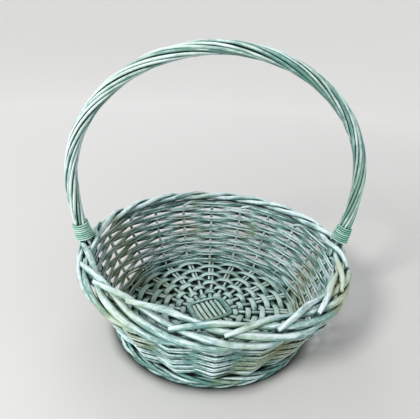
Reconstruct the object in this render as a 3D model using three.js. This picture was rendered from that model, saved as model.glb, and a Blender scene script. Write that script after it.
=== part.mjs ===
// Round wicker basket with a fixed arched handle.
// Twenty stakes start in a round base of crossed sticks, turn up through a woven wall and are
// plaited into the border. The handle's bow is pushed down into the wall beside two stakes.
// Millimetres, +Z up. The handle stands in the XZ plane and the origin is the base's centre,
// on the surface that the basket stands on.

import * as THREE from 'three';
import { ParametricGeometry } from 'three/addons/geometries/ParametricGeometry.js';

const TURN = 2 * Math.PI;
const DEG = Math.PI / 180;
const GAP = 0.4;

// Stakes: the upright rods, one for each 18 degrees.
const STAKE_COUNT = 20;
const STAKE_PITCH = TURN / STAKE_COUNT;
const STAKE_RADIUS = 2.1;
const STAKE_BORDER_RADIUS = 2.4;
const STAKE_SIDES = 5;
const STAKE_FROM_LEG = -2.6 * DEG;

// Base: sticks crossed at the middle, with flat strips woven round them.
const STRIP_THICKNESS = 2.6;
const STRIP_LIFT = 3.75;
const BASE_MID = STRIP_LIFT + STRIP_THICKNESS / 2;
const STICK_WIDTH = 5;
const STICK_HEIGHT = 4;
const STICK_PITCH = 7;
const STICK_END_RADIUS = 101;
const STICK_SIDE_SHIFT = -2.5;
const STICK_SIDES = 6;
const FAN_RADIUS = 32;
const DOUBLE_RADIUS = 56;
const LONG_STICKS = 6;
const CROSS_STICKS = 4;
const CROSSING_LIFT = 2.2;
const STRIP_COUNT = 6;
const STRIP_FIRST_RADIUS = 33;
const STRIP_LAST_RADIUS = 99.5;
const STRIP_SPACE = 0.8;
const STRIP_FLAT_ANGLE = 5.2 * DEG;

// Stake feet: each lies beside a stick end and turns up at the rim of the base.
const STAKE_FOOT_RADIUS = 60;
const STAKE_FOOT_SHIFT = 2.4;
const STAKE_TURN_RADIUS = 100;

// Wall: the stakes' centre line flares from the foot to just under the border.
const WALL_LOW = 9.5;
const WALL_HIGH = 83;
const WALL_LOW_RADIUS = 108;
const WALL_HIGH_RADIUS = 136.5;
const WALL_BULGE = 1.35;
const STAKE_WALL_HEIGHTS = [20, 31, 42, 53, 64, 75];
const BAND_COUNT = 7;
const BAND_FIRST_HEIGHT = 10;
const BAND_THICKNESS = 2.4;
const BAND_SPACE = 0.35;
const BAND_CLEARANCE = 0.5;
const BAND_FLAT_ANGLE = 2 * DEG;
const BAND_LEG_ANGLE = 4.6 * DEG;

// Foot wale: the rope of rods round the base's edge, with the flat that the basket stands on.
const FOOT_INNER_RADIUS = 110.5;
const FOOT_OUTER_RADIUS = 116;
const FOOT_HEIGHT = 8;
const FOOT_SEGMENTS = 60;

// Border: each stake leans out over the wall, sweeps round and up the outside for two stakes,
// crosses the top, follows the inner edge and comes out again to its cut end.
// A point is [degrees past its stake, radius past BORDER_RADIUS, height past BORDER_HEIGHT].
const BORDER_RADIUS = 141;
const BORDER_HEIGHT = 81.6;
const BORDER_STEPS = 18;
const BORDER_ROUTE = [
  [0, -5, 3], [4, -3.8, 6.6], [9, 0, 6.4], [14, 3.9, 4.2], [20, 6.4, 4.2], [27, 7.3, 7.1], [36, 6.6, 11.2],
  [45, 3, 13.8], [54, -1.8, 14.6], [63, -5.6, 16.3], [72, -5, 20.1], [81, 0.3, 20.7], [88, 5, 17.6],
];
const INNER_EDGE_FROM = 60;
const INNER_EDGE_TO = 79;
const PARTING = 2.8;
const PARTING_ANGLE = 5 * DEG;

// Handle: a bow whose legs go down into the wall, wrapped in a skin of long twisted strands.
const ARCH_HALF_WIDTH = 152.5;
const ARCH_SPRING_HEIGHT = 169;
const ARCH_TOP_HEIGHT = 305;
const ARCH_STEPS = 38;
const BOW_RADIUS = 3.5;
const BOW_SIDES = 8;
const LEG_RADIUS = 2.2;
const LEG_NECK_RADIUS = 2.5;
const LEG_HEIGHTS = [20, 34, 48, 62, 76];
const LEG_NECK = [[136.6, 86], [136.9, 93], [137.8, 98], [140.2, 102]];
const ARCH_FOOT = [[143.8, 103.5], [148.4, 123], [151.6, 146]];
const STRAND_COUNT = 10;
const STRAND_RADIUS = 1.45;
const STRAND_SIDES = 4;
const STRAND_TURNS = -2.4;
const STRAND_START = 0.003;
const BINDING_START = 0.001;
const BINDING_LENGTH = 18;
const BINDING_THICKNESS = 2.4;
const BINDING_SEGMENTS = 24;

function paint(color, roughness) {
  return new THREE.MeshStandardMaterial({ color, roughness, metalness: 0 });
}

const stakePaint = paint(0xb9cfc8, 0.62);
const weavePaint = paint(0xa3c2b9, 0.66);
const basePaint = paint(0x93b8ae, 0.68);
const handlePaint = paint(0x9fc0b5, 0.6);
const bindingPaint = paint(0x8fb3a2, 0.6);

function addPiece(group, name, geometry, material) {
  geometry.computeVertexNormals();
  const mesh = new THREE.Mesh(geometry, material);
  mesh.name = name;
  group.add(mesh);
  return mesh;
}

function numbered(name, index) {
  return `${name}_${String(index + 1).padStart(2, '0')}`;
}

function polar(radius, angle, height) {
  return new THREE.Vector3(radius * Math.cos(angle), radius * Math.sin(angle), height);
}

function spokePoint(radius, angle, sideShift, height) {
  const point = polar(radius, angle, height);
  return point.add(polar(sideShift, angle + TURN / 4, 0));
}

// Frames carried along a row of points without twisting.
function carryFrames(points, firstUp) {
  const last = points.length - 1;
  const up = firstUp.clone();
  return points.map((point, i) => {
    const tangent = points[Math.min(i + 1, last)].clone().sub(points[Math.max(i - 1, 0)]).normalize();
    up.addScaledVector(tangent, -up.dot(tangent)).normalize();
    return { up: up.clone(), side: new THREE.Vector3().crossVectors(tangent, up) };
  });
}

// A closed rod through the points: an ellipse section with its half sizes at each point.
function rodGeometry(points, halfWidths, halfHeights, sides, firstUp) {
  const frames = carryFrames(points, firstUp);
  const last = points.length - 1;
  const rows = last + 2;
  const surface = (u, v, target) => {
    const row = Math.round(u * rows) - 1;
    const i = THREE.MathUtils.clamp(row, 0, last);
    const open = row === i ? 1 : 0;
    const angle = TURN * (Math.round(v * sides) % sides) / sides;
    target.copy(points[i]);
    target.addScaledVector(frames[i].side, open * halfWidths[i] * Math.cos(angle));
    target.addScaledVector(frames[i].up, open * halfHeights[i] * Math.sin(angle));
  };
  return new ParametricGeometry(surface, rows, sides);
}

// A closed ring: angleAt(i) turns a section of four [radius, height] corners.
function ringGeometry(steps, angleAt, cornersAt) {
  const surface = (u, v, target) => {
    const i = Math.round(u * steps) % steps;
    const [radius, height] = cornersAt(i)[Math.round(v * 4) % 4];
    target.copy(polar(radius, angleAt(i), height));
  };
  return new ParametricGeometry(surface, steps, 4);
}

function stakeAngle(index) {
  return STAKE_FROM_LEG + index * STAKE_PITCH;
}

function spokeAngle(index) {
  return stakeAngle(index) - STAKE_FOOT_SHIFT / WALL_LOW_RADIUS;
}

function wallRadius(height) {
  const rise = THREE.MathUtils.clamp((height - WALL_LOW) / (WALL_HIGH - WALL_LOW), 0, 1);
  return WALL_LOW_RADIUS + (WALL_HIGH_RADIUS - WALL_LOW_RADIUS) * (1 - (1 - rise) ** WALL_BULGE);
}

function wallSlope(height) {
  return wallRadius(height + 0.5) - wallRadius(height - 0.5);
}

// ---- Base ----

function stickPoints(axis, sideOffset, endAngle, straight, lift) {
  const half = (turn) => {
    const angle = axis + (turn > 0 ? endAngle : Math.PI - endAngle);
    const middle = new THREE.Vector3(turn * straight, sideOffset, BASE_MID + lift);
    return [
      middle.applyAxisAngle(new THREE.Vector3(0, 0, 1), axis),
      polar(FAN_RADIUS, angle, BASE_MID),
      spokePoint(DOUBLE_RADIUS, angle, STICK_SIDE_SHIFT, BASE_MID),
      spokePoint(STICK_END_RADIUS, angle, STICK_SIDE_SHIFT, BASE_MID),
    ];
  };
  return [...half(-1).reverse(), ...half(1)];
}

function addSticks(group, name, count, crossCount, axis, lift) {
  const straight = (crossCount - 1) / 2 * STICK_PITCH + STICK_WIDTH / 2 + GAP;
  for (let i = 0; i < count; i += 1) {
    const place = i - (count - 1) / 2;
    const points = stickPoints(axis, place * STICK_PITCH, place * STAKE_PITCH, straight, lift);
    const widths = points.map(() => STICK_WIDTH / 2);
    const heights = points.map(() => STICK_HEIGHT / 2);
    const geometry = rodGeometry(points, widths, heights, STICK_SIDES, new THREE.Vector3(0, 0, 1));
    addPiece(group, numbered(name, i), geometry, basePaint);
  }
}

function addStrips(group) {
  const pitch = (STRIP_LAST_RADIUS - STRIP_FIRST_RADIUS + STRIP_SPACE) / STRIP_COUNT;
  const angleAt = (i) => spokeAngle(Math.floor(i / 2)) + (i % 2 ? 1 : -1) * STRIP_FLAT_ANGLE;
  for (let strip = 0; strip < STRIP_COUNT; strip += 1) {
    const inner = STRIP_FIRST_RADIUS + strip * pitch;
    const outer = inner + pitch - STRIP_SPACE;
    const cornersAt = (i) => {
      const over = (Math.floor(i / 2) + strip) % 2 ? 1 : -1;
      const low = BASE_MID + over * STRIP_LIFT - STRIP_THICKNESS / 2;
      const high = low + STRIP_THICKNESS;
      return [[inner, low], [outer, low], [outer, high], [inner, high]];
    };
    const geometry = ringGeometry(2 * STAKE_COUNT, angleAt, cornersAt);
    addPiece(group, numbered('base_strip', strip), geometry, basePaint);
  }
}

function addFootWale(group) {
  const profile = [
    new THREE.Vector2(FOOT_INNER_RADIUS, 0),
    new THREE.Vector2(FOOT_OUTER_RADIUS, 0),
    new THREE.Vector2(FOOT_OUTER_RADIUS, FOOT_HEIGHT),
    new THREE.Vector2(FOOT_INNER_RADIUS, FOOT_HEIGHT),
    new THREE.Vector2(FOOT_INNER_RADIUS, 0),
  ];
  const geometry = new THREE.LatheGeometry(profile, FOOT_SEGMENTS);
  geometry.rotateX(TURN / 4);
  addPiece(group, 'foot_wale', geometry, weavePaint);
}

// ---- Stakes and border ----

// The border's rods part to either side of each handle leg: past is how far the rod has come.
function partedRadius(radius, angle, past) {
  const fromLeg = angle - Math.PI * Math.round(angle / Math.PI);
  const side = past > INNER_EDGE_FROM && past < INNER_EDGE_TO ? -1 : 1;
  return radius + side * PARTING * Math.exp(-((fromLeg / PARTING_ANGLE) ** 2));
}

function footPoints(index) {
  const angle = spokeAngle(index);
  const turn = new THREE.QuadraticBezierCurve(
    new THREE.Vector2(STAKE_TURN_RADIUS, BASE_MID),
    new THREE.Vector2(WALL_LOW_RADIUS - wallSlope(WALL_LOW + 1) * (WALL_LOW - BASE_MID), BASE_MID),
    new THREE.Vector2(WALL_LOW_RADIUS, WALL_LOW),
  );
  const outline = [new THREE.Vector2(STAKE_FOOT_RADIUS, BASE_MID), ...turn.getPoints(3)];
  return outline.map((point) => spokePoint(point.x, angle, STAKE_FOOT_SHIFT, point.y));
}

function borderPoints(index) {
  const route = new THREE.CatmullRomCurve3(BORDER_ROUTE.map((point) => new THREE.Vector3(...point)));
  return route.getPoints(BORDER_STEPS).map((point) => {
    const angle = stakeAngle(index) - point.x * DEG;
    const radius = BORDER_RADIUS + point.y;
    const free = point.x > BORDER_ROUTE[1][0];
    return polar(free ? partedRadius(radius, angle, point.x) : radius, angle, BORDER_HEIGHT + point.z);
  });
}

function addStakes(group) {
  for (let i = 0; i < STAKE_COUNT; i += 1) {
    const foot = footPoints(i);
    const wall = STAKE_WALL_HEIGHTS.map((height) => polar(wallRadius(height), stakeAngle(i), height));
    const border = borderPoints(i);
    const points = [...foot, ...wall, ...border];
    const borderFrom = foot.length + wall.length + 1;
    const radii = points.map((point, n) => (n < borderFrom ? STAKE_RADIUS : STAKE_BORDER_RADIUS));
    const geometry = rodGeometry(points, radii, radii, STAKE_SIDES, new THREE.Vector3(0, 0, 1));
    addPiece(group, numbered('stake', i), geometry, stakePaint);
  }
}

// ---- Wall ----

function bandOffset(height) {
  const across = Math.hypot(1, wallSlope(height));
  return (STAKE_RADIUS + BAND_CLEARANCE) * across + BAND_THICKNESS / 2;
}

function addBands(group) {
  const pitch = (WALL_HIGH - BAND_FIRST_HEIGHT) / BAND_COUNT;
  const angleAt = (i) => {
    const stake = Math.floor(i / 2);
    const beside = stake % (STAKE_COUNT / 2) === 0 ? BAND_LEG_ANGLE : BAND_FLAT_ANGLE;
    return stakeAngle(stake) + (i % 2 ? beside : -BAND_FLAT_ANGLE);
  };
  for (let band = 0; band < BAND_COUNT; band += 1) {
    const low = BAND_FIRST_HEIGHT + band * pitch;
    const high = low + pitch - BAND_SPACE;
    const cornersAt = (i) => {
      const outside = (Math.floor(i / 2) + band) % 2 ? 1 : -1;
      const lowRadius = wallRadius(low) + outside * bandOffset(low);
      const highRadius = wallRadius(high) + outside * bandOffset(high);
      const half = BAND_THICKNESS / 2;
      return [
        [lowRadius - half, low], [lowRadius + half, low],
        [highRadius + half, high], [highRadius - half, high],
      ];
    };
    const geometry = ringGeometry(2 * STAKE_COUNT, angleAt, cornersAt);
    addPiece(group, numbered('wall_weave', band), geometry, weavePaint);
  }
}

// ---- Handle ----

function inArchPlane([x, z]) {
  return new THREE.Vector3(x, 0, z);
}

function mirrored(points) {
  return points.map((point) => new THREE.Vector3(-point.x, point.y, point.z)).reverse();
}

function archCurve() {
  const foot = ARCH_FOOT.map(inArchPlane);
  const crown = new THREE.EllipseCurve(
    0, ARCH_SPRING_HEIGHT, ARCH_HALF_WIDTH, ARCH_TOP_HEIGHT - ARCH_SPRING_HEIGHT, 0, Math.PI,
  );
  const top = crown.getPoints(12).map((point) => inArchPlane([point.x, point.y]));
  return new THREE.CatmullRomCurve3([...foot, ...top, ...mirrored(foot)]);
}

function addBow(group, arch) {
  const wall = LEG_HEIGHTS.map((height) => inArchPlane([wallRadius(height), height]));
  const leg = [...wall, ...LEG_NECK.map(inArchPlane)];
  const legRadii = leg.map((point, i) => (i < wall.length ? LEG_RADIUS : LEG_NECK_RADIUS));
  const middle = arch.getSpacedPoints(ARCH_STEPS);
  const points = [...leg, ...middle, ...mirrored(leg)];
  const radii = [...legRadii, ...middle.map(() => BOW_RADIUS), ...legRadii.slice().reverse()];
  const geometry = rodGeometry(points, radii, radii, BOW_SIDES, new THREE.Vector3(0, 1, 0));
  addPiece(group, 'handle_bow', geometry, handlePaint);
}

function strandPoints(arch, index) {
  const across = new THREE.Vector3(0, 1, 0);
  const reach = BOW_RADIUS + GAP + STRAND_RADIUS;
  const points = [];
  for (let step = 0; step <= ARCH_STEPS; step += 1) {
    const along = STRAND_START + (1 - 2 * STRAND_START) * step / ARCH_STEPS;
    const turn = TURN * (index / STRAND_COUNT + STRAND_TURNS * along);
    const outward = new THREE.Vector3().crossVectors(arch.getTangentAt(along), across);
    const point = arch.getPointAt(along);
    point.addScaledVector(outward, reach * Math.cos(turn));
    point.addScaledVector(across, reach * Math.sin(turn));
    points.push(point);
  }
  return points;
}

function addStrands(group, arch) {
  for (let i = 0; i < STRAND_COUNT; i += 1) {
    const points = strandPoints(arch, i);
    const radii = points.map(() => STRAND_RADIUS);
    const geometry = rodGeometry(points, radii, radii, STRAND_SIDES, new THREE.Vector3(0, 1, 0));
    addPiece(group, numbered('handle_strand', i), geometry, handlePaint);
  }
}

function addBinding(group, arch, name, along) {
  const inner = BOW_RADIUS + GAP + 2 * STRAND_RADIUS + GAP;
  const outer = inner + BINDING_THICKNESS;
  const half = BINDING_LENGTH / 2;
  const profile = [[inner, -half], [outer, -half], [outer, half], [inner, half], [inner, -half]];
  const outline = profile.map(([radius, height]) => new THREE.Vector2(radius, height));
  const mesh = addPiece(group, name, new THREE.LatheGeometry(outline, BINDING_SEGMENTS), bindingPaint);
  mesh.position.copy(arch.getPointAt(along));
  mesh.quaternion.setFromUnitVectors(new THREE.Vector3(0, 1, 0), arch.getTangentAt(along));
}

function addHandle(group) {
  const arch = archCurve();
  const bindingMiddle = BINDING_START + BINDING_LENGTH / 2 / arch.getLength();
  addBow(group, arch);
  addStrands(group, arch);
  addBinding(group, arch, 'binding_right', bindingMiddle);
  addBinding(group, arch, 'binding_left', 1 - bindingMiddle);
}

const basket = new THREE.Group();
const slathAxis = spokeAngle(6) + STAKE_PITCH / 2;
addSticks(basket, 'base_stick', LONG_STICKS, CROSS_STICKS, slathAxis, CROSSING_LIFT);
addSticks(basket, 'base_cross_stick', CROSS_STICKS, LONG_STICKS, slathAxis + TURN / 4, -CROSSING_LIFT);
addStrips(basket);
addFootWale(basket);
addStakes(basket);
addBands(basket);
addHandle(basket);

export default basket;
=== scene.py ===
import math

import bpy
import numpy as np
from mathutils import Matrix, Vector


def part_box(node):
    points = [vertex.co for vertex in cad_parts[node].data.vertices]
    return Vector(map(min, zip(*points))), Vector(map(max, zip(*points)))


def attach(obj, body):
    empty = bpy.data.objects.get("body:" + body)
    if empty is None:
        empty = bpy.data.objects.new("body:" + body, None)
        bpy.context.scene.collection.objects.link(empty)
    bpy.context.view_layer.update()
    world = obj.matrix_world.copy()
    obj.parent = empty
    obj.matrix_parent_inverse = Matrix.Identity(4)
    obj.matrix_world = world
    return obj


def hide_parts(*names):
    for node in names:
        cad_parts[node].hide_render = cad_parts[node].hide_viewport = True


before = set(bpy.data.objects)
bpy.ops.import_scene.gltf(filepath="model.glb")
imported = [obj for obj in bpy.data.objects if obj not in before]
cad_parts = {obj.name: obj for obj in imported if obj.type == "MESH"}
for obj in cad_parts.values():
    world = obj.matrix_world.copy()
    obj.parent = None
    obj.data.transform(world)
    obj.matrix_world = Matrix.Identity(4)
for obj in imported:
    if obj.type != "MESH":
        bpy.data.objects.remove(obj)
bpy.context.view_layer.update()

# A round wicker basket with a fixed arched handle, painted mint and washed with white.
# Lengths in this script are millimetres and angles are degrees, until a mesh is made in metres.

MM = 0.001
TURN = 2 * math.pi
DRAW = np.random.RandomState(7)


def box_mm(node):
    """The lowest and highest corner of a node of the CAD."""
    low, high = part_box(node)
    return np.array(low) / MM, np.array(high) / MM


# ---- Sizes from the frame ----

FOOT_LOW, FOOT_HIGH = box_mm("foot_wale")
BOW_HIGH = box_mm("handle_bow")[1]
WALL_LOW = box_mm("wall_weave_01")[0][2]
WALL_HIGH = box_mm("wall_weave_07")[1][2]
STRIP_LOW, STRIP_HIGH = box_mm("base_strip_06")
STAKE_TOP = box_mm("stake_01")[1][2]

STAKES = 20
PITCH = 360 / STAKES
STAKE_FROM_LEG = -2.6
BASE_MID = (STRIP_LOW[2] + STRIP_HIGH[2]) / 2
FOOT_SHIFT = 2.4
FOOT_REACH = 8
WALL_LOW_RADIUS = -FOOT_LOW[0] - FOOT_REACH
WALL_HIGH_RADIUS = 136.5
WALL_BULGE = 1.35
ROWS_PAST_BANDS = 7
WALL_TOP = WALL_HIGH + ROWS_PAST_BANDS
BORDER_RADIUS = 141.0
BORDER_DEPTH = 23.1
BORDER_HEIGHT = STAKE_TOP - BORDER_DEPTH
BOW_RADIUS = 3.5
ARCH_HALF_WIDTH = BOW_HIGH[0] - BOW_RADIUS
ARCH_TOP = BOW_HIGH[2] - BOW_RADIUS
ARCH_SPRING = 169.0


# ---- Camera, light and floor ----

CAMERA_PLACE = (-37.1, -379.4, 319.0)
CAMERA_HEADING = 4.5
CAMERA_DOWN = 25.08
CAMERA_ROLL = 3.08
CAMERA_LENS = 32.9


def make_camera():
    """The photo's own angle, with its small roll."""
    down = math.radians(CAMERA_DOWN)
    heading = math.radians(CAMERA_HEADING)
    level = math.cos(down)
    forward = Vector((math.sin(heading) * level, math.cos(heading) * level, -math.sin(down)))
    right = forward.cross(Vector((0, 0, 1))).normalized()
    up = right.cross(forward)
    roll = Matrix.Rotation(math.radians(CAMERA_ROLL), 3, -forward)
    right = roll @ right
    up = roll @ up
    data = bpy.data.cameras.new("camera")
    data.lens = CAMERA_LENS
    camera = bpy.data.objects.new("camera", data)
    turn = Matrix((right, up, -forward)).transposed().to_4x4()
    camera.matrix_world = Matrix.Translation(Vector(CAMERA_PLACE) * MM) @ turn
    bpy.context.scene.collection.objects.link(camera)
    bpy.context.scene.camera = camera


LIGHT_AIM = Vector((0, 0, 0.1))
# Name, place in metres, width, watts and colour.
LIGHTS = [
    ("key_light", (-0.85, -0.85, 1.05), 0.35, 19, (1.0, 0.985, 0.96)),
    ("fill_light", (0.95, -0.7, 0.9), 0.9, 1.0, (0.93, 0.97, 1.0)),
    ("back_light", (-0.2, 0.9, 1.2), 0.9, 4, (0.95, 0.98, 1.0)),
]
SKY_TINT = (0.86, 0.88, 0.90, 1)
SKY_POWER = 0.5


def add_light(name, place, size, power, tint):
    data = bpy.data.lights.new(name, "AREA")
    data.shape = "DISK"
    data.size = size
    data.energy = power
    data.color = tint
    light = bpy.data.objects.new(name, data)
    light.location = place
    light.rotation_mode = "QUATERNION"
    light.rotation_quaternion = (LIGHT_AIM - Vector(place)).to_track_quat("-Z", "Y")
    bpy.context.scene.collection.objects.link(light)


def make_studio():
    """A warm key from the left, a weak fill, a light from behind and an even sky."""
    for light in LIGHTS:
        add_light(*light)
    world = bpy.data.worlds.new("studio")
    world.use_nodes = True
    background = world.node_tree.nodes["Background"]
    background.inputs["Color"].default_value = SKY_TINT
    background.inputs["Strength"].default_value = SKY_POWER
    bpy.context.scene.world = world
    bpy.context.scene.view_settings.view_transform = "Standard"


# Lengths of the floor are metres.
FLOOR_INNER = 0.6
FLOOR_REACH = 1.3
COVE_RADIUS = 1.8
COVE_HEIGHT = 2.8
COVE_STEPS = 17
FLOOR_SIDES = 96
FLOOR_PALE = (0.64, 0.635, 0.63, 1)
# Painted shadow on the floor: its colour, how far the basket darkens the floor, and its gain and start.
FLOOR_PAINTED_SHADOW = (0.015, 0.03, 0.027, 1)
PAINTED_SHADOW_REACH = 0.022
PAINTED_SHADOW_GAIN = 2.0
PAINTED_SHADOW_START = -0.7
BACKDROP_TINT = (1.0, 0.99, 0.98, 1)
BACKDROP_GLOW = 0.28
GLOW_PER_METRE = 0.24
GLOW_START = -0.06


def floor_mesh():
    """A round studio floor that curves up into its own backdrop."""
    bend = np.radians(np.linspace(0, 90, COVE_STEPS))
    edge = FLOOR_REACH + COVE_RADIUS
    reach = np.concatenate([[FLOOR_INNER], FLOOR_REACH + COVE_RADIUS * np.sin(bend), [edge]])
    rise = np.concatenate([[0.0], COVE_RADIUS * (1 - np.cos(bend)), [COVE_HEIGHT]])
    turn = np.arange(FLOOR_SIDES) * TURN / FLOOR_SIDES
    points = [(0.0, 0.0, 0.0)]
    for radius, height in zip(reach, rise):
        points += [(radius * math.cos(t), radius * math.sin(t), height) for t in turn]
    faces = [(0, 1 + k, 1 + (k + 1) % FLOOR_SIDES) for k in range(FLOOR_SIDES)]
    for row in range(len(reach) - 1):
        first = 1 + row * FLOOR_SIDES
        for k in range(FLOOR_SIDES):
            after = (k + 1) % FLOOR_SIDES
            faces.append((first + k, first + FLOOR_SIDES + k, first + FLOOR_SIDES + after, first + after))
    mesh = bpy.data.meshes.new("floor")
    mesh.from_pydata(points, [], faces)
    mesh.polygons.foreach_set("use_smooth", [True] * len(faces))
    return mesh


def floor_paint():
    """Plain and pale, with painted shadow right under the basket's edge, and glowing a little far away."""
    material = bpy.data.materials.new("floor_plain")
    material.use_nodes = True
    tree = material.node_tree
    shader = tree.nodes["Principled BSDF"]
    shader.inputs["Roughness"].default_value = 0.8
    shader.inputs["Specular IOR Level"].default_value = 0.2
    shader.inputs["Emission Color"].default_value = BACKDROP_TINT
    place = add_node(tree, "ShaderNodeTexCoord").outputs["Object"]
    away = add_node(tree, "ShaderNodeVectorMath", operation="LENGTH")
    tree.links.new(place, away.inputs[0])
    glow = math_node(tree, "MULTIPLY_ADD", away.outputs["Value"], GLOW_PER_METRE, GLOW_START, clamp=True)
    tree.links.new(math_node(tree, "MINIMUM", glow, BACKDROP_GLOW), shader.inputs["Emission Strength"])
    # Painted shadow: the floor turns dark green where ambient occlusion finds the basket near.
    occlusion = add_node(tree, "ShaderNodeAmbientOcclusion", samples=8)
    occlusion.inputs["Distance"].default_value = PAINTED_SHADOW_REACH
    lit = math_node(tree, "MULTIPLY_ADD", occlusion.outputs["AO"], PAINTED_SHADOW_GAIN, PAINTED_SHADOW_START, clamp=True)
    tree.links.new(mix_colors(tree, lit, FLOOR_PAINTED_SHADOW, FLOOR_PALE), shader.inputs["Base Color"])
    return material


def make_floor():
    mesh = floor_mesh()
    mesh.materials.append(floor_paint())
    floor = bpy.data.objects.new("floor", mesh)
    bpy.context.scene.collection.objects.link(floor)


# ---- Materials ----

def srgb(red, green, blue):
    """A linear colour from red, green and blue of 0 to 255."""
    def linear(value):
        value /= 255
        return value / 12.92 if value <= 0.04045 else ((value + 0.055) / 1.055) ** 2.4
    return (linear(red), linear(green), linear(blue), 1)


def add_node(tree, kind, **settings):
    node = tree.nodes.new(kind)
    for name, value in settings.items():
        setattr(node, name, value)
    return node


def mix_colors(tree, factor, first, second):
    node = add_node(tree, "ShaderNodeMix", data_type="RGBA", blend_type="MIX")
    for socket, value in ((node.inputs[0], factor), (node.inputs[6], first), (node.inputs[7], second)):
        if isinstance(value, bpy.types.NodeSocket):
            tree.links.new(value, socket)
        else:
            socket.default_value = value
    return node.outputs[2]


def math_node(tree, operation, first, second=0.0, third=0.0, clamp=False):
    node = add_node(tree, "ShaderNodeMath", operation=operation, use_clamp=clamp)
    for socket, value in zip(node.inputs, (first, second, third)):
        if isinstance(value, bpy.types.NodeSocket):
            tree.links.new(value, socket)
        else:
            socket.default_value = value
    return node.outputs[0]


def noise_of(tree, vector, scale, stretch, detail, roughness):
    mapping = add_node(tree, "ShaderNodeMapping")
    mapping.inputs["Scale"].default_value = stretch
    tree.links.new(vector, mapping.inputs["Vector"])
    noise = add_node(tree, "ShaderNodeTexNoise")
    noise.inputs["Scale"].default_value = scale
    noise.inputs["Detail"].default_value = detail
    noise.inputs["Roughness"].default_value = roughness
    tree.links.new(mapping.outputs["Vector"], noise.inputs["Vector"])
    return noise.outputs["Fac"]


# Places where the paint has worn through to yellow willow, and how far each reaches, in metres.
WARM_PLACES = [((-0.108, 0.03, 0.045), 0.08), ((0.052, -0.115, 0.045), 0.05), ((0.13, -0.075, 0.1), 0.055)]
WARM_STRENGTH = 1.3
COOL_TINT = srgb(84, 162, 158)

# A rod's grain runs along it, so these stretch the noise along the first axis.
EVEN = (1, 1, 1)
STREAK_STRETCH = (0.05, 0.6, 0.6)
PATCH_STRETCH = (0.05, 0.2, 0.2)
FINE_STRETCH = (0.12, 3.2, 3.2)
CLOUD_SCALE = 15.0
SPECKLE_SCALE = 190.0

# How much each of these adds to the pale wash. The openness, upward and bulge terms are painted light:
# more on open places, on upward faces and on the side that a rod bulges toward.
WASH_START = -4.12
WASH_BY_STREAKS = 3.4
WASH_BY_PATCHES = 2.4
PAINTED_LIGHT_BY_OPENNESS = 0.9
PAINTED_LIGHT_BY_UPWARD = 0.5
PAINTED_LIGHT_BY_BULGE = 0.55

# How much each of these adds to the painted shade, a deep colour put where neighbours are near,
# on downward faces and on the side facing away from a rod's bulge.
PAINTED_SHADE_START = 2.02
PAINTED_SHADE_BY_OPENNESS = -2.8
PAINTED_SHADE_BY_BULGE = -0.45
PAINTED_SHADE_BY_UPWARD = -0.3

# Each tint's share is a noise times its gain plus its start, and it covers this much at most.
COOL_GAIN, COOL_START, COOL_MOST = -5.0, 2.2, 0.5
WARM_GAIN, WARM_START, WARM_MOST = 4.2, -2.15, 0.85
DEEP_GAIN, DEEP_START, DEEP_MOST = -5.0, 2.15, 0.45
WASH_LOST_WHERE_WARM = 0.45

BUMP_STRENGTH = 0.6
BUMP_HEIGHT = 0.0006


def warm_places(tree, place, share):
    """Adds the worn places to the share of warm colour."""
    for middle, reach in WARM_PLACES:
        away = add_node(tree, "ShaderNodeVectorMath", operation="DISTANCE")
        tree.links.new(place, away.inputs[0])
        away.inputs[1].default_value = middle
        near = math_node(tree, "MULTIPLY_ADD", away.outputs["Value"], -1 / reach, 1.0, clamp=True)
        share = math_node(tree, "MULTIPLY_ADD", near, WARM_STRENGTH, share)
    return share


def facing_of(tree):
    """How far the surface faces up, and how far it faces the way that its rod bulges."""
    normal = add_node(tree, "ShaderNodeNewGeometry").outputs["Normal"]
    split = add_node(tree, "ShaderNodeSeparateXYZ")
    tree.links.new(normal, split.inputs[0])
    toward = add_node(tree, "ShaderNodeAttribute", attribute_name="bulge").outputs["Vector"]
    bulge = add_node(tree, "ShaderNodeVectorMath", operation="DOT_PRODUCT")
    tree.links.new(toward, bulge.inputs[0])
    tree.links.new(normal, bulge.inputs[1])
    return split.outputs["Z"], bulge.outputs["Value"]


def tint_body(tree, place, patches, body, deep, warm):
    """The paint under the wash: cooler in some places, worn warm or left deep in others."""
    clouds = noise_of(tree, place, CLOUD_SCALE, EVEN, 3, 0.55)
    warm_share = math_node(tree, "MULTIPLY_ADD", clouds, WARM_GAIN, WARM_START)
    warm_share = math_node(tree, "ADD", warm_places(tree, place, warm_share), 0.0, clamp=True)
    cool_share = math_node(tree, "MULTIPLY_ADD", clouds, COOL_GAIN, COOL_START, clamp=True)
    deep_share = math_node(tree, "MULTIPLY_ADD", patches, DEEP_GAIN, DEEP_START, clamp=True)
    tinted = mix_colors(tree, math_node(tree, "MULTIPLY", cool_share, COOL_MOST), body, COOL_TINT)
    tinted = mix_colors(tree, math_node(tree, "MULTIPLY", warm_share, WARM_MOST), tinted, warm)
    tinted = mix_colors(tree, math_node(tree, "MULTIPLY", deep_share, DEEP_MOST), tinted, deep)
    return tinted, warm_share


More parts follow.
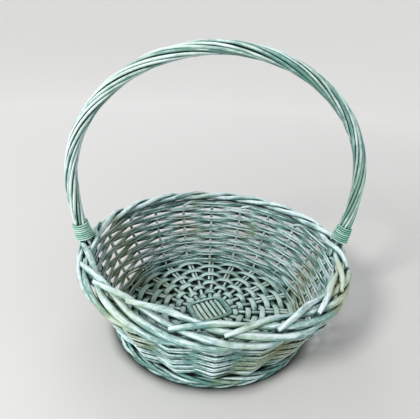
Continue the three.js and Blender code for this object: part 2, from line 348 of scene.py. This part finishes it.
def painted_willow(name, colors, wash_share, roughness, crevice=0.008, lean=0.0, rod_share=0.5, blotch=2.0):
    """Mint paint and pale wash on willow, with painted light on raised places and deep green painted shade
    in hollows.

    Crevice is how far, in metres, a neighbour darkens the paint with painted shade. Lean is the painted
    light added per metre along X, lighter on one side and darker on the other. Rod_share is how much the
    wash differs from rod to rod, and blotch how speckled it is.
    """
    deep, body, wash, warm = [srgb(*color) for color in colors]
    material = bpy.data.materials.new(name)
    material.use_nodes = True
    tree = material.node_tree
    shader = tree.nodes["Principled BSDF"]
    grain = add_node(tree, "ShaderNodeAttribute", attribute_name="grain").outputs["Vector"]
    rod = add_node(tree, "ShaderNodeAttribute", attribute_name="rod").outputs["Fac"]
    place = add_node(tree, "ShaderNodeTexCoord").outputs["Object"]
    streaks = noise_of(tree, grain, 1.0, STREAK_STRETCH, 5, 0.7)
    patches = noise_of(tree, grain, 1.0, PATCH_STRETCH, 4, 0.6)
    speckle = noise_of(tree, place, SPECKLE_SCALE, EVEN, 3, 0.7)
    occlusion = add_node(tree, "ShaderNodeAmbientOcclusion", samples=8)
    occlusion.inputs["Distance"].default_value = crevice
    openness = occlusion.outputs["AO"]
    upward, bulge = facing_of(tree)
    across = add_node(tree, "ShaderNodeSeparateXYZ")
    tree.links.new(place, across.inputs[0])
    # Painted light: open places, upward faces, the side a rod bulges toward and, by lean, one side along X
    # get more wash.
    wash_and_painted_light = wash_share + WASH_START - rod_share / 2 - blotch / 2
    for source, weight in ((streaks, WASH_BY_STREAKS), (patches, WASH_BY_PATCHES), (speckle, blotch),
                           (rod, rod_share), (openness, PAINTED_LIGHT_BY_OPENNESS), (upward, PAINTED_LIGHT_BY_UPWARD),
                           (bulge, PAINTED_LIGHT_BY_BULGE), (across.outputs["X"], lean)):
        wash_and_painted_light = math_node(tree, "MULTIPLY_ADD", source, weight, wash_and_painted_light)
    wash_and_painted_light = math_node(tree, "ADD", wash_and_painted_light, 0.0, clamp=True)
    tinted, warm_share = tint_body(tree, place, patches, body, deep, warm)
    spared = math_node(tree, "MULTIPLY_ADD", warm_share, -WASH_LOST_WHERE_WARM, 1.0)
    wash_and_painted_light = math_node(tree, "MULTIPLY", wash_and_painted_light, spared)
    # Painted shade: deep green where neighbours are near, on downward faces and on the side away from a
    # rod's bulge.
    painted_shade = math_node(tree, "MULTIPLY_ADD", openness, PAINTED_SHADE_BY_OPENNESS, PAINTED_SHADE_START)
    painted_shade = math_node(tree, "MULTIPLY_ADD", bulge, PAINTED_SHADE_BY_BULGE, painted_shade)
    painted_shade = math_node(tree, "MULTIPLY_ADD", upward, PAINTED_SHADE_BY_UPWARD, painted_shade, clamp=True)
    color = mix_colors(tree, painted_shade, mix_colors(tree, wash_and_painted_light, tinted, wash), deep)
    tree.links.new(color, shader.inputs["Base Color"])
    rough = math_node(tree, "MULTIPLY_ADD", streaks, 0.3, roughness - 0.15)
    tree.links.new(rough, shader.inputs["Roughness"])
    fine = noise_of(tree, grain, 1.0, FINE_STRETCH, 5, 0.7)
    bump = add_node(tree, "ShaderNodeBump")
    bump.inputs["Strength"].default_value = BUMP_STRENGTH
    bump.inputs["Distance"].default_value = BUMP_HEIGHT
    tree.links.new(math_node(tree, "ADD", fine, streaks), bump.inputs["Height"])
    tree.links.new(bump.outputs["Normal"], shader.inputs["Normal"])
    shader.inputs["Specular IOR Level"].default_value = 0.35
    return material


# Each paint's colours are the deep green of the painted shade in the hollows and of deep patches,
# the body, the wash, which the painted light also uses, and the worn willow, of 0 to 255.
STAKE_COLORS = [(18, 52, 48), (108, 154, 148), (220, 236, 240), (178, 188, 142)]
WEAVE_COLORS = [(8, 36, 33), (90, 136, 128), (212, 234, 238), (126, 132, 84)]
BASE_COLORS = [(6, 28, 26), (96, 138, 130), (190, 214, 210), (118, 142, 112)]
BASE_STICK_COLORS = [(8, 30, 28), (134, 168, 158), (202, 222, 214), (146, 164, 138)]
HANDLE_COLORS = [(8, 40, 35), (102, 148, 139), (214, 234, 231), (140, 172, 144)]
BINDING_COLORS = [(24, 84, 70), (122, 180, 162), (196, 228, 218), (140, 186, 152)]

MATERIALS = {
    "stake_paint": painted_willow("stake_willow", STAKE_COLORS, 0.55, 0.58, blotch=1.1),
    "weave_paint": painted_willow("weave_willow", WEAVE_COLORS, 0.46, 0.62, crevice=0.010, rod_share=0.8),
    "base_paint": painted_willow("base_willow", BASE_COLORS, 0.5, 0.66),
    "base_stick_paint": painted_willow("base_stick_willow", BASE_STICK_COLORS, 0.46, 0.66),
    # Painted light on the handle: lighter towards its left leg and darker towards its right, by lean.
    "handle_paint": painted_willow("handle_willow", HANDLE_COLORS, 0.94, 0.52, crevice=0.006,
                                   lean=-2.4, rod_share=1.1, blotch=0.8),
    "binding_paint": painted_willow("binding_cane", BINDING_COLORS, 0.62, 0.55, crevice=0.003, blotch=0.8),
}


# ---- Rods ----

CURVE_STEPS = 16
KNOT_SPACING = 70
KNOT_SPREAD = 2.4
SWELL = 0.05
SWELL_WAVES = 12
LOBES = 0.03
GRAIN_REACH = 5000
END_LIP = 0.8
END_DEPTH = 0.15


def unit(rows):
    return rows / np.maximum(np.linalg.norm(rows, axis=-1, keepdims=True), 1e-9)


def wander(count, waves, closed=True):
    """A smooth random curve of about unit size, which joins its own start when closed."""
    t = np.linspace(0, TURN, count, endpoint=not closed)
    curve = np.zeros(count)
    for wave in range(1, waves + 1):
        curve += DRAW.uniform(-1, 1) * np.sin(wave * t + DRAW.uniform(0, TURN)) / math.sqrt(wave)
    return curve / max(1e-6, np.abs(curve).max())


def smooth_path(points, count):
    """Evenly spaced points on a smooth curve through the given ones."""
    points = np.array(points, float)
    rows = np.vstack([2 * points[0] - points[1], points, 2 * points[-1] - points[-2]])
    curve = []
    for i in range(1, len(rows) - 2):
        a, b, c, d = rows[i - 1:i + 3]
        for t in np.linspace(0, 1, CURVE_STEPS, endpoint=False):
            curve.append(b + 0.5 * t * (c - a + t * (2 * a - 5 * b + 4 * c - d + t * (3 * (b - c) + d - a))))
    curve = np.array(curve + [points[-1]])
    along = np.concatenate([[0], np.cumsum(np.linalg.norm(np.diff(curve, axis=0), axis=1))])
    even = np.linspace(0, along[-1], count)
    return np.stack([np.interp(even, along, curve[:, k]) for k in range(curve.shape[1])], axis=1)


def polar(radius, angle, height):
    """Points at a radius from the basket's axis and an angle from +X."""
    turn = np.radians(angle)
    return np.stack(np.broadcast_arrays(radius * np.cos(turn), radius * np.sin(turn), height), axis=-1)


class RodMesh:
    """Rods collected into one mesh, with the attributes that the paint reads."""

    def __init__(self):
        self.points = []
        self.faces = []
        self.flat = []
        self.grain = []
        self.shade = []
        self.bulge = []

    def frames(self, path, guide, closed):
        """Unit vectors along, up and beside the path. The guide is one way up, or one for each point."""
        if closed:
            tangents = unit(np.roll(path, -1, axis=0) - np.roll(path, 1, axis=0))
        else:
            tangents = unit(np.gradient(path, axis=0))
        if np.ndim(guide) == 2:
            up = unit(guide - (guide * tangents).sum(1, keepdims=True) * tangents)
        else:
            carried = np.array(guide, float)
            rows = []
            for tangent in tangents:
                carried = carried - carried.dot(tangent) * tangent
                carried /= np.linalg.norm(carried)
                rows.append(carried)
            up = np.array(rows)
        return tangents, up, np.cross(tangents, up)

    def swell(self, along, knots, closed):
        """How a rod's thickness wanders along it, with a few low knots."""
        swell = 1 + SWELL * wander(len(along), SWELL_WAVES, closed)
        for place in DRAW.uniform(0, along[-1], max(1, int(along[-1] / KNOT_SPACING))):
            swell += knots * DRAW.uniform(0.3, 1) * np.exp(-((along - place) / KNOT_SPREAD) ** 2)
        return swell

    def outline(self, sides, square):
        """A rod's uneven section, from round to squarish."""
        turn = np.arange(sides) * TURN / sides
        squeeze = (np.abs(np.cos(turn)) ** 4 + np.abs(np.sin(turn)) ** 4) ** -0.25
        squeeze = 1 + square * (squeeze - 1)
        lobes = 1 + LOBES * np.cos(3 * turn + DRAW.uniform(0, TURN))
        return np.cos(turn) * squeeze * lobes, np.sin(turn) * squeeze * lobes

    def join_rings(self, start, count, sides, closed):
        """The faces between each ring of points and the next."""
        row = np.arange(count if closed else count - 1)[:, None]
        column = np.arange(sides)[None]
        after = (column + 1) % sides
        above = (row + 1) % count
        ring = [row * sides + column, row * sides + after, above * sides + after, above * sides + column]
        self.faces += (start + np.stack(ring, axis=-1).reshape(-1, 4)).tolist()
        self.flat += [False] * ring[0].size

    def add(self, path, half_width, half_height, sides, guide=(0, 0, 1), closed=False, square=0.0,
            knots=0.08, dull=0.0, bulge=0.0):
        """One rod along a path. A dull rod gets less wash. Bulge adds painted light to its upper side and
        painted shade to its lower side.
        """
        count = len(path)
        tangents, up, side = self.frames(path, guide, closed)
        steps = np.linalg.norm(np.diff(path, axis=0, append=path[:1] if closed else path[-1:]), axis=1)
        along = np.concatenate([[0], np.cumsum(steps)[:-1]])
        swell = self.swell(along, knots, closed)
        across, rise = self.outline(sides, square)
        wide = (half_width * swell)[:, None] * across[None]
        high = (half_height * swell)[:, None] * rise[None]
        rings = path[:, None] + wide[..., None] * side[:, None] + high[..., None] * up[:, None]
        start = sum(len(rows) for rows in self.points)
        from_tip = np.broadcast_to((along + DRAW.uniform(0, GRAIN_REACH))[:, None], wide.shape)
        grain = np.stack([from_tip, wide, high], axis=-1)
        self.points.append(rings.reshape(-1, 3))
        self.grain.append(grain.reshape(-1, 3))
        self.join_rings(start, count, sides, closed)
        shade = DRAW.uniform(0, 1) - dull
        self.shade.append(np.full(count * sides, shade))
        toward = np.broadcast_to(bulge, (count,))[:, None] * up
        self.bulge.append(np.repeat(toward, sides, axis=0))
        if not closed:
            last = start + (count - 1) * sides
            self.close_end(start, path[0], rings[0], -tangents[0], grain[0], shade, True)
            self.close_end(last, path[-1], rings[-1], tangents[-1], grain[-1], shade, False)

    def close_end(self, first, middle, ring, outward, grain, shade, flip):
        """A cut end: a small rounded edge, then a flat face."""
        sides = len(ring)
        start = sum(len(rows) for rows in self.points)
        lip = middle + (ring - middle) * END_LIP
        depth = np.linalg.norm(ring - middle, axis=1).mean() * END_DEPTH
        self.points.append(lip + outward * depth)
        self.grain.append(grain * (1, END_LIP, END_LIP))
        self.shade.append(np.full(sides, shade))
        self.bulge.append(np.zeros((sides, 3)))
        for k in range(sides):
            face = [first + k, first + (k + 1) % sides, start + (k + 1) % sides, start + k]
            self.faces.append(face[::-1] if flip else face)
            self.flat.append(False)
        cap = [start + k for k in range(sides)]
        self.faces.append(cap[::-1] if flip else cap)
        self.flat.append(True)

    def attribute(self, mesh, name, kind, field, rows):
        """Stores one value for each point of the mesh, for the paint to read."""
        values = np.concatenate(rows).astype(np.float32).ravel()
        mesh.attributes.new(name, kind, "POINT").data.foreach_set(field, values)

    def make(self, name, paint, *nodes):
        """The finished piece, in metres, which stands for the given nodes of the CAD."""
        mesh = bpy.data.meshes.new(name)
        points = np.concatenate(self.points) * MM
        mesh.from_pydata(points.tolist(), [], self.faces)
        mesh.polygons.foreach_set("use_smooth", [not flat for flat in self.flat])
        self.attribute(mesh, "grain", "FLOAT_VECTOR", "vector", self.grain)
        self.attribute(mesh, "rod", "FLOAT", "value", self.shade)
        self.attribute(mesh, "bulge", "FLOAT_VECTOR", "vector", self.bulge)
        mesh.materials.append(MATERIALS[paint])
        mesh.update()
        piece = bpy.data.objects.new(name, mesh)
        bpy.context.scene.collection.objects.link(piece)
        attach(piece, "root")
        if nodes:
            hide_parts(*nodes)


# ---- Wall outline ----

FULL_SIDE = -36
FULL_SPREAD = 24
FULLNESS = 7.0


def stake_angle(index):
    """Stakes stand a little to one side of the handle's legs."""
    return STAKE_FROM_LEG + index * PITCH


def spoke_angle(index):
    """A base stick lies beside the foot of its stake."""
    return stake_angle(index) - math.degrees(FOOT_SHIFT / WALL_LOW_RADIUS)


def wall_radius(height, angle):
    """The wall's flare, with one side a little fuller than the rest."""
    rise = np.clip((height - WALL_LOW) / (WALL_HIGH - WALL_LOW), 0, 1)
    flare = WALL_LOW_RADIUS + (WALL_HIGH_RADIUS - WALL_LOW_RADIUS) * (1 - (1 - rise) ** WALL_BULGE)
    from_side = (angle - FULL_SIDE + 180) % 360 - 180
    return flare + FULLNESS * np.exp(-(from_side / FULL_SPREAD) ** 2) * np.sin(math.pi * rise ** 1.5)


# ---- Stakes and border ----

# A stake's way through the border: degrees past its own place, radius and height from the border's middle.
BORDER_ROUTE = [
    (0, -5, 3), (4, -3.8, 6.6), (9, 0, 6.4), (14, 3.9, 4.2), (20, 6.4, 4.2), (27, 7.1, 7.1), (36, 6.4, 11.2),
    (45, 3, 13.8), (54, -1.8, 14.6), (63, -5.6, 16.3), (72, -5, 20.1), (81, 0.6, 20.0), (88, 4.6, 16.4),
]
BORDER_STEPS = 120
INNER_EDGE = (60, 79)
EDGE_BLEND = 4
PARTING = 2.8
PARTING_ANGLE = 5
BENT_OVER = 6
TAIL_START = 52
TAIL_REACH = 36
TAIL_EASE = 1.3
BORDER_DRIFT = 0.45
BORDER_WAVES = 4
# How far the tails of these stakes are moved outward and up.
RAISED_TAILS = {17: (-2.0, 6.0), 18: (-6.0, 8.0)}


def border_path(index):
    """The route with its rod parted round the handle's legs, and some tails raised."""
    route = smooth_path(BORDER_ROUTE, BORDER_STEPS)
    past = route[:, 0]
    angle = stake_angle(index) - past
    free = np.clip((past - BENT_OVER) / BENT_OVER, 0, 1)
    from_leg = angle - 180 * np.round(angle / 180)
    inside = np.minimum(past - INNER_EDGE[0], INNER_EDGE[1] - past)
    inner = np.clip((inside + EDGE_BLEND / 2) / EDGE_BLEND, 0, 1)
    parting = free * (1 - 2 * inner) * PARTING * np.exp(-(from_leg / PARTING_ANGLE) ** 2)
    outward, raised = RAISED_TAILS.get(index, (0, 0))
    near_tail = np.clip((past - TAIL_START) / TAIL_REACH, 0, 1) ** TAIL_EASE
    drift = free * BORDER_DRIFT
    radius = BORDER_RADIUS + route[:, 1] + parting + drift * wander(BORDER_STEPS, BORDER_WAVES, False)
    height = BORDER_HEIGHT + route[:, 2] + drift * wander(BORDER_STEPS, BORDER_WAVES, False)
    return polar(radius + outward * near_tail, angle, height + raised * near_tail)


def foot_path(index):
    """A stake's foot, from beside its base stick to the bend at the base's edge."""
    angle = spoke_angle(index)
    shift = polar(FOOT_SHIFT, angle + 90, 0)
    corner = WALL_LOW_RADIUS - 2
    outline = [(60, BASE_MID), (80, BASE_MID), (98, BASE_MID), (corner - 2.5, BASE_MID + 0.9),
               (corner + 1, BASE_MID + 4)]
    return np.array([polar(radius, angle, height) + shift for radius, height in outline])


LOWER_STEPS = 50
THICK_STEPS = [0, 40, 52, 64]
TAPER_STEPS = 18
STAKE_THICKNESS = [1.8, 1.85, 2.2, 3.15, 3.0, 2.1]


def make_stakes():
    """Each stake is one rod from the base to its tail, thickest in the border."""
    for index in range(STAKES):
        angle = stake_angle(index)
        wall = [polar(wall_radius(z, angle), angle, z) for z in np.linspace(16, WALL_HIGH - 4, 9)]
        lower = smooth_path(np.vstack([foot_path(index), wall]), LOWER_STEPS)
        path = np.vstack([lower, border_path(index)[1:]])
        last = len(path) - 1
        thick_at = THICK_STEPS + [last - TAPER_STEPS, last]
        thick = np.interp(np.arange(last + 1), thick_at, STAKE_THICKNESS)
        thick *= DRAW.uniform(0.92, 1.08)
        rods = RodMesh()
        rods.add(path, thick, thick, 12)
        rods.make(f"stake_rod_{index + 1:02d}", "stake_paint", f"stake_{index + 1:02d}")


# ---- Wall weave ----

ROWS = 14
ROW_RODS = 3
ROW_STEPS = 400
WEAVER = 1.05
STAKE_HALF = 1.9
ROW_SLACK = 0.3
SUNK = 0.8
SUNK_DULL = 0.5
ROD_SPACING = 1.95
CHORD_DIP = 1.5
ROW_DRIFT = 0.55
ROD_DRIFT = 0.6
REACH_DRIFT = 0.35
WAVE_POINT = 0.95


def weave_wave(angle, parity):
    """1 outside a stake, -1 inside it, and nearly straight between stakes."""
    phase = np.cos(np.radians((angle - STAKE_FROM_LEG) * STAKES / 2))
    return parity * np.arcsin(WAVE_POINT * phase) / math.asin(WAVE_POINT)


def make_wall():
    """Rows of three thin rods each, woven as one before and behind the stakes."""
    angle = np.linspace(0, 360, ROW_STEPS, endpoint=False)
    outward = polar(1, angle, 0)
    pitch = (WALL_TOP - WALL_LOW) / ROWS
    bands = [f"wall_weave_{n:02d}" for n in range(1, 8)]
    between = np.abs((angle - STAKE_FROM_LEG) % PITCH - PITCH / 2) / (PITCH / 2)
    chord = -CHORD_DIP * (1 - between ** 2)
    for row in range(ROWS):
        middle = WALL_LOW + (row + 0.5) * pitch
        rods = RodMesh()
        wave = weave_wave(angle, 1 if row % 2 else -1)
        drift = ROW_DRIFT * wander(ROW_STEPS, 7)
        for rod in range(ROW_RODS):
            place = rod - (ROW_RODS - 1) / 2
            sunk = 0.0 if place else SUNK
            height = middle + drift + ROD_SPACING * place + ROD_DRIFT * wander(ROW_STEPS, 24)
            reach = STAKE_HALF + WEAVER + ROW_SLACK - sunk + REACH_DRIFT * wander(ROW_STEPS, 14)
            radius = wall_radius(height, angle) + chord + reach * wave
            thick = WEAVER * DRAW.uniform(0.86, 1.14) * np.ones(ROW_STEPS)
            path = polar(radius, angle, height)
            # Painted light on the side of each rod facing the way its row bends round a stake, painted shade
            # on the other; the sunk middle rod gets less wash.
            rods.add(path, thick, thick, 8, outward, True, dull=SUNK_DULL * sunk, bulge=wave)
        nodes = [bands[row]] if row < len(bands) else []
        rods.make(f"wall_row_{row + 1:02d}", "weave_paint", *nodes)


# ---- Foot wale ----

WALE_STEPS = 400
WALE_STRAND = 1.75
WALE_REACH = 2.1
ROPE_RODS = 3
# Radius, height and turns of each rope.
WALE_ROPES = [(FOOT_HIGH[0] - 3.9, 4.0, 10), (FOOT_HIGH[0] - 2.6, 9.4, -10)]
# Radius and height of each thin rod.
INNER_WALE = [(103.2, 6.3), (103.6, 8.7), (104.6, 11.0)]
INNER_WALE_HALF = 1.2
INNER_WALE_DRIFT = 0.3


def make_foot_wale():
    """Two ropes, one on the other and twisted opposite ways, and thin rods inside the corner."""
    angle = np.linspace(0, 360, WALE_STEPS, endpoint=False)
    outward = polar(1, angle, 0)
    rods = RodMesh()
    for radius, height, turns in WALE_ROPES:
        for strand in range(ROPE_RODS):
            twist = np.radians(angle * turns) + strand * TURN / ROPE_RODS
            path = polar(radius + WALE_REACH * np.cos(twist), angle, height + WALE_REACH * np.sin(twist))
            thick = WALE_STRAND * DRAW.uniform(0.9, 1.03) * np.ones(WALE_STEPS)
            rods.add(path, thick, thick, 8, outward, True)
    rods.make("foot_wale_rope", "weave_paint", "foot_wale")
    rods = RodMesh()
    thick = np.full(WALE_STEPS, INNER_WALE_HALF)
    for radius, height in INNER_WALE:
        away = radius + INNER_WALE_DRIFT * wander(WALE_STEPS, 20)
        path = polar(away, angle, height + INNER_WALE_DRIFT * wander(WALE_STEPS, 20))
        rods.add(path, thick, thick, 8, outward, True)
    rods.make("inner_wale", "weave_paint")


# ---- Base ----

STICK_PITCH = 6.3
STICK_HALF_WIDTH = 2.5
STICK_HALF_HEIGHT = 1.8
SPOKE_HALF_WIDTH = 1.75
NARROWING = [30, 50]
STICK_SHIFT = 2.1
SLATH_AXIS = spoke_angle(6) + PITCH / 2
CROSSING_LIFT = 2.2
STICK_STEPS = 100
# Where a stick bends: radius, share of the slath's shift and share of the sideways shift.
STICK_BENDS = [(36, 0.7, 0.0), (54, 0.4, 0.9), (78, 0.0, 1.0), (102, 0.0, 1.0)]
STRIPS = 10
STRIP_HALF_WIDTH = 3.4
FRAME_HALF_WIDTHS = (2.0, 3.2)
SLATH_SHIFT = (-2.0, -7.0, 0.0)
STRIP_HALF_HEIGHT = 0.9
WINDOW_HALF_LENGTH = 21.6
WINDOW_HALF_WIDTH = 17.8
FRAME_INSET = 4
STRIP_LAST_RADIUS = 100.0
STRIP_STEPS = 400
STRIP_CLEARANCE = 0.15
STRIP_DRIFT = 0.5
STRIP_SNAP = 1.7
SQUARENESS = 3.5
SQUARE_FADE = 1.4
FRAME_SUNK = 0.3
FRAME_DULL = 0.45


def stick_path(axis, offset, end_angle, straight, lift):
    """A base stick: straight and parallel across the middle, then fanned out to its spokes' angles."""
    half = []
    for turn in (-1, 1):
        angle = axis + (end_angle if turn > 0 else 180 - end_angle)
        across = polar(1, axis + 90, 0)
        shift = polar(-STICK_SHIFT, angle + 90, 0)
        middle = np.array(SLATH_SHIFT)
        rows = [polar(turn * along, axis, BASE_MID + lift) + across * offset + middle
                for along in (straight - 5, straight + 1)]
        rows += [polar(radius, angle, BASE_MID) + shift * sideways + near * middle
                 for radius, near, sideways in STICK_BENDS]
        half.append(rows[::-1] if turn < 0 else rows)
    return smooth_path(half[0] + half[1], STICK_STEPS)


def make_sticks(name, node, count, straight, axis, lift):
    """One layer of sticks, side by side across the middle, and narrower as spokes."""
    for index in range(count):
        place = index - (count - 1) / 2
        rods = RodMesh()
        path = stick_path(axis, place * STICK_PITCH, place * PITCH, straight, lift)
        far = np.hypot(path[:, 0], path[:, 1])
        wide = np.interp(far, NARROWING, [STICK_HALF_WIDTH, SPOKE_HALF_WIDTH]) * DRAW.uniform(0.94, 1.06)
        high = np.full(len(path), STICK_HALF_HEIGHT)
        rods.add(path, wide, high, 12, (0, 0, 1), False, 0.5)
        rods.make(f"{name}_{index + 1:02d}", "base_stick_paint", f"{node}_{index + 1:02d}")


def strip_radius(turn, angle):
    """The first turn is a rounded rectangle round the crossed sticks; later ones grow round."""
    share = turn / (STRIPS - 1)
    along = WINDOW_HALF_WIDTH + share * (STRIP_LAST_RADIUS - WINDOW_HALF_WIDTH)
    across = WINDOW_HALF_LENGTH + share * (STRIP_LAST_RADIUS - WINDOW_HALF_LENGTH)
    power = 2 + SQUARENESS * math.exp(-SQUARE_FADE * turn)
    from_axis = np.radians(angle - SLATH_AXIS)
    parts = (np.abs(np.cos(from_axis)) / along) ** power + (np.abs(np.sin(from_axis)) / across) ** power
    return parts ** (-1 / power)


def make_strips():
    """The first turn frames the crossed sticks, and the others are woven over and under them."""
    angle = np.linspace(0, 360, STRIP_STEPS, endpoint=False)
    upward = np.tile((0.0, 0.0, 1.0), (STRIP_STEPS, 1))
    nodes = [f"base_strip_{n:02d}" for n in range(1, 7)]
    for strip in range(STRIPS):
        frame_turn = strip == 0
        phase = np.cos(np.radians((angle - spoke_angle(0)) * STAKES / 2)) * (1 if strip % 2 else -1)
        wave = np.tanh(STRIP_SNAP * phase) / math.tanh(STRIP_SNAP)
        lift = STICK_HALF_HEIGHT + STRIP_HALF_HEIGHT + STRIP_CLEARANCE
        height = BASE_MID + (CROSSING_LIFT + lift - FRAME_SUNK if frame_turn else lift * wave)
        radius = strip_radius(strip, angle) + (0 if frame_turn else STRIP_DRIFT * wander(STRIP_STEPS, 8))
        beside = np.abs(np.sin(np.radians(angle - SLATH_AXIS)))
        wide = np.interp(beside, [0.6, 0.8], FRAME_HALF_WIDTHS) if frame_turn else STRIP_HALF_WIDTH
        wide = wide * (1 + 0.07 * wander(STRIP_STEPS, 14))
        rods = RodMesh()
        thin = np.full(STRIP_STEPS, STRIP_HALF_HEIGHT)
        path = polar(radius, angle, height) + np.array(SLATH_SHIFT) * (1 - strip / (STRIPS - 1))
        # Woven turns get painted light on the side toward which they are lifted or lowered, painted shade on
        # the other; the frame turn gets less wash.
        dull, bulge = (FRAME_DULL, 0.0) if frame_turn else (0.0, wave)
        rods.add(path, wide, thin, 12, upward, True, 0.8, 0.02, dull, bulge)
        replaced = [nodes[strip - 1]] if 1 <= strip <= len(nodes) else []
        rods.make(f"base_strip_turn_{strip + 1:02d}", "base_paint", *replaced)


def make_base():
    """Six sticks laid over four, inside their frame, and the strips woven round them."""
    long_reach = WINDOW_HALF_WIDTH - FRAME_INSET
    cross_reach = WINDOW_HALF_LENGTH - FRAME_INSET
    make_sticks("base_long_rod", "base_stick", 6, long_reach, SLATH_AXIS, CROSSING_LIFT)
    make_sticks("base_cross_rod", "base_cross_stick", 4, cross_reach, SLATH_AXIS + 90, -CROSSING_LIFT)
    make_strips()


# ---- Handle ----

STRANDS = 10
STRAND_HALF = 1.42
STRAND_REACH = 5.2
STRAND_TURNS = -2.4
TWIST_DRIFT = 0.16
STRAND_DRIFT = 0.45
DULL_STRAND = 0.55
LEG_ROUTE = [(136.6, 86), (136.9, 93), (137.8, 98), (140.2, 102)]
ARCH_FOOT = [(143.8, 103.5), (148.4, 123), (151.6, 146)]
ARCH_STEPS = 280
BINDING_TURNS = 8
BINDING_PITCH = 2.3
BINDING_HALF = 1.2
BINDING_FLARE = 1.3
BINDING_DRIFT = 0.2
CORE_THICKNESS = [1.8, 2.2, 2.4, 3.1]
CORE_STEPS = [0, 25, 37, 44]
# Sideways shift and lowest height of the two thinner rods beside a leg.
SIDE_RODS = [(4.6, 60), (-3.9, 90)]
SIDE_ROD_HALF = 1.9
SIDE_ROD_STEPS = 30


def arch_path(count):
    """The handle's middle line, from above the right binding over to the left one."""
    turn = np.radians(np.linspace(0, 180, 25))
    rise = ARCH_SPRING + (ARCH_TOP - ARCH_SPRING) * np.sin(turn)
    crown = np.stack([ARCH_HALF_WIDTH * np.cos(turn), rise], axis=1)
    foot = np.array(ARCH_FOOT)
    flat = np.vstack([foot, crown, (foot * (-1, 1))[::-1]])
    flat = smooth_path(flat, count)
    return np.stack([flat[:, 0], np.zeros(count), flat[:, 1]], axis=1)


def leg_path(start, side_shift, lowest, count):
    """From inside the wall up to the first point of the arch, moved sideways by side_shift."""
    wall = [(wall_radius(z, 180), z) for z in (20, 34, 48, 62, 76) if z >= lowest]
    rows = [(x, side_shift, z) for x, z in wall + LEG_ROUTE]
    return smooth_path(rows + [tuple(start + (0, 0.4 * side_shift, 0))], count)


def make_core(arch):
    """The bow inside the handle's rods, with two thinner rods beside each of its legs."""
    rods = RodMesh()
    leg = leg_path(arch[0], 0, 20, 40)
    path = np.vstack([leg[:-1], arch, leg[:-1][::-1] * (-1, 1, 1)])
    thick_at = CORE_STEPS + [len(path) - step for step in CORE_STEPS[::-1]]
    thick = np.interp(np.arange(len(path)), thick_at, CORE_THICKNESS + CORE_THICKNESS[::-1])
    rods.add(path, thick, thick, 12, (0, 1, 0))
    thick = np.full(SIDE_ROD_STEPS, SIDE_ROD_HALF)
    for turn in (1, -1):
        for side_shift, lowest in SIDE_RODS:
            rod = leg_path(arch[6], side_shift, lowest, SIDE_ROD_STEPS) * (turn, turn, 1)
            rods.add(rod, thick, thick, 10, (0, 1, 0))
    rods.make("handle_core", "handle_paint", "handle_bow")


def make_binding(name, arch, tangents, outward, across, index):
    """Willow skin wound round the foot of the bundle, one turn beside the next."""
    coil = RodMesh()
    steps = np.linspace(0, BINDING_TURNS, BINDING_TURNS * 32)
    from_top = 1 - steps / BINDING_TURNS if name == "right" else steps / BINDING_TURNS
    drift = BINDING_DRIFT * wander(len(steps), 12, False)
    reach = STRAND_REACH + STRAND_HALF + 0.9 + BINDING_FLARE * from_top + drift
    center = arch[index] + tangents[index] * ((steps - BINDING_TURNS / 2) * BINDING_PITCH)[:, None]
    around = np.cos(TURN * steps)[:, None] * outward[index] + np.sin(TURN * steps)[:, None] * across
    thick = np.full(len(steps), BINDING_HALF)
    coil.add(center + reach[:, None] * around, thick, thick * 0.8, 8, tangents[index])
    coil.make(f"binding_coil_{name}", "binding_paint", f"binding_{name}")


def make_handle():
    """Long thin rods twisted round the bow, and a binding at each foot."""
    arch = arch_path(ARCH_STEPS)
    tangents = unit(np.gradient(arch, axis=0))
    across = np.array((0.0, 1.0, 0.0))
    outward = unit(np.cross(tangents, across))
    along = np.linspace(0, 1, ARCH_STEPS)
    for strand in range(STRANDS):
        twist = TURN * (strand / STRANDS + STRAND_TURNS * along) + TWIST_DRIFT * wander(ARCH_STEPS, 6, False)
        reach = STRAND_REACH + STRAND_DRIFT * wander(ARCH_STEPS, 10, False)
        path = arch + (reach * np.cos(twist))[:, None] * outward + (reach * np.sin(twist))[:, None] * across
        thick = STRAND_HALF * DRAW.uniform(0.92, 1.18) * np.ones(ARCH_STEPS)
        rods = RodMesh()
        rods.add(path, thick, thick, 10, across, dull=DULL_STRAND if strand % 3 == 1 else 0.0)
        rods.make(f"handle_rod_{strand + 1:02d}", "handle_paint", f"handle_strand_{strand + 1:02d}")
    make_core(arch)
    for name, index in (("right", 5), ("left", ARCH_STEPS - 6)):
        make_binding(name, arch, tangents, outward, across, index)


make_camera()
make_studio()
make_floor()
make_stakes()
make_wall()
make_foot_wale()
make_base()
make_handle()

bpy.context.view_layer.update()
